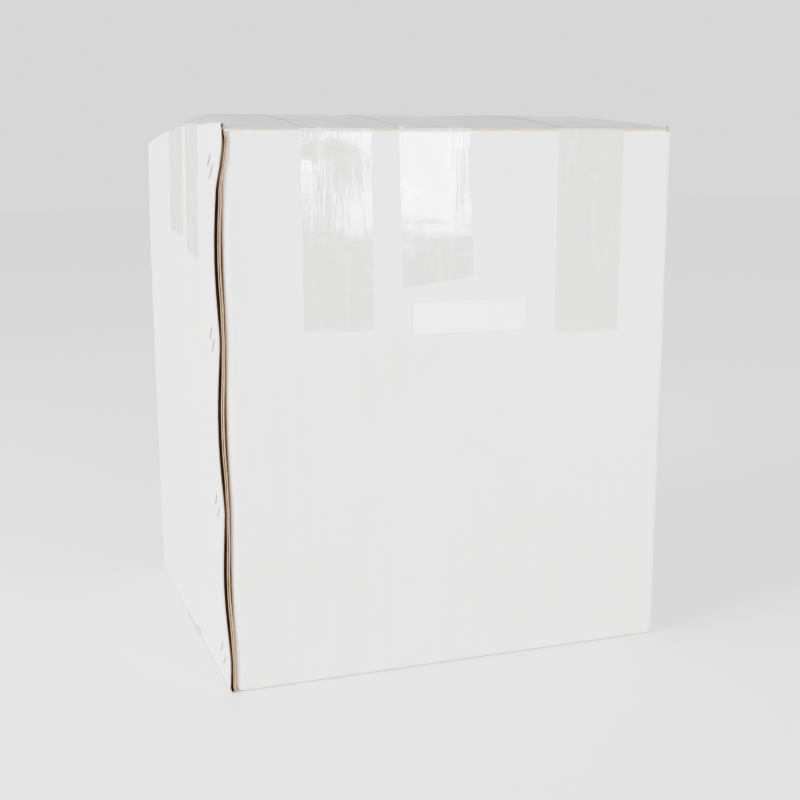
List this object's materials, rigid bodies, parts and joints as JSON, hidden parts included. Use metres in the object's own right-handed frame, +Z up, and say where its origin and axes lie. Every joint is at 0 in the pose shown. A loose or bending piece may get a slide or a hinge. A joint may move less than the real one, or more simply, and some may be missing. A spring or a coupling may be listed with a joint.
{
  "type": "sliding gate motor",
  "caption": "Sliding gate motor packed in its taped, stapled corrugated carton, held by foam blocks, with worm drive, rack pinion, control board and hinged carton flaps.",
  "frame": {"origin": "middle of the face the carton stands on", "axes": "+Z up, +X to the right along the wide front wall, -Y out of the front wall"},
  "size_m": [0.3259, 0.2724, 0.3833],
  "materials": {
    "white_lined_board": "white-lined double-wall corrugated board, kraft inside",
    "packing_tape": "clear glossy packing tape",
    "label_paper": "glossy white paper label, blank",
    "staple_steel": "coppered stitching wire, tarnished",
    "bead_foam": "white expanded bead foam",
    "booklet_paper": "stapled paper booklet",
    "remote_plastic": "dark moulded plastic",
    "zinc_steel": "zinc-plated steel sheet",
    "cast_alloy": "die-cast aluminium, as cast",
    "fastener_steel": "zinc-plated fasteners",
    "gear_bronze": "machined bronze",
    "shaft_steel": "ground steel",
    "bearing_steel": "polished bearing steel",
    "seal_rubber": "black nitrile rubber",
    "core_steel": "stacked electrical steel, varnished",
    "enamelled_copper": "varnished copper wire, laced",
    "cover_plastic": "light grey moulded plastic",
    "circuit_laminate": "green circuit laminate",
    "black_plastic": "black moulded plastic",
    "terminal_plastic": "green connector plastic"
  },
  "bodies": {
    "root": {"carton_sleeve": "white_lined_board", "left_bottom_flap": "white_lined_board", "left_top_flap": "white_lined_board", "right_bottom_flap": "white_lined_board", "right_top_flap": "white_lined_board", "front_bottom_flap": "white_lined_board", "back_bottom_flap": "white_lined_board", "cross_tape_tails": "packing_tape", "seam_tape_tails": "packing_tape", "bottom_seam_tape": "packing_tape", "front_label": "label_paper", "joint_staples": "staple_steel", "foam_tray": "bead_foam", "foam_cap": "bead_foam", "booklet": "booklet_paper", "remote_controls": "remote_plastic", "foundation_plate": "zinc_steel", "electrics_shelf": "zinc_steel", "gear_housing": "cast_alloy", "gear_cover": "cast_alloy", "worm_cap": "cast_alloy", "end_bell": "cast_alloy", "foot_bolts": "fastener_steel", "gear_cover_screws": "fastener_steel", "tie_bolts": "fastener_steel", "shelf_posts": "fastener_steel", "board_spacers": "fastener_steel", "lock_barrel": "shaft_steel", "output_bearings": "bearing_steel", "rotor_bearings": "bearing_steel", "shaft_seal": "seal_rubber", "stator_core": "core_steel", "transformer": "core_steel", "stator_windings": "enamelled_copper", "top_cover": "cover_plastic", "control_board": "circuit_laminate", "run_capacitor": "black_plastic", "cable_gland": "black_plastic", "limit_switch": "black_plastic", "terminal_block": "terminal_plastic"},
    "front_flap": {"front_top_flap": "white_lined_board", "front_seam_tape": "packing_tape", "front_cross_tape": "packing_tape"},
    "back_flap": {"back_top_flap": "white_lined_board", "back_seam_tape": "packing_tape", "back_cross_tape": "packing_tape"},
    "rotor": {"worm_shaft": "shaft_steel", "rotor_core": "core_steel"},
    "output": {"worm_wheel": "gear_bronze", "output_shaft": "shaft_steel", "shaft_key": "shaft_steel", "drive_pinion": "shaft_steel", "pinion_washer": "fastener_steel", "pinion_bolt": "fastener_steel"},
    "release": {"release_knob": "black_plastic"},
    "limit_arm": {"limit_arm": "shaft_steel"}
  },
  "joints": [
    {"name": "front_flap_hinge", "type": "hinge", "parent": "root", "child": "front_flap", "pos_m": [0, -0.136, 0.375], "axis": [1, 0, 0], "range_deg": [0, 240]},
    {"name": "back_flap_hinge", "type": "hinge", "parent": "root", "child": "back_flap", "pos_m": [0, 0.136, 0.375], "axis": [-1, 0, 0], "range_deg": [0, 240]},
    {"name": "rotor_spin", "type": "hinge", "parent": "root", "child": "rotor", "pos_m": [0, 0, 0.14565], "axis": [1, 0, 0], "continuous": true},
    {"name": "output_spin", "type": "hinge", "parent": "root", "child": "output", "pos_m": [0.072, 0, 0.09815], "axis": [0, 1, 0], "continuous": true},
    {"name": "release_turn", "type": "hinge", "parent": "root", "child": "release", "pos_m": [0.066, -0.09, 0.11615], "axis": [0, 1, 0], "range_deg": [0, 90]},
    {"name": "limit_arm_swing", "type": "hinge", "parent": "root", "child": "limit_arm", "pos_m": [-0.03, 0.085, 0.16415], "axis": [0, 1, 0], "range_deg": [-30, 30], "stiffness_Nm_per_rad": 0.06}
  ],
  "couplings": [
    {"joint": "output_spin", "follows": "rotor_spin", "ratio": -0.035714}
  ]
}
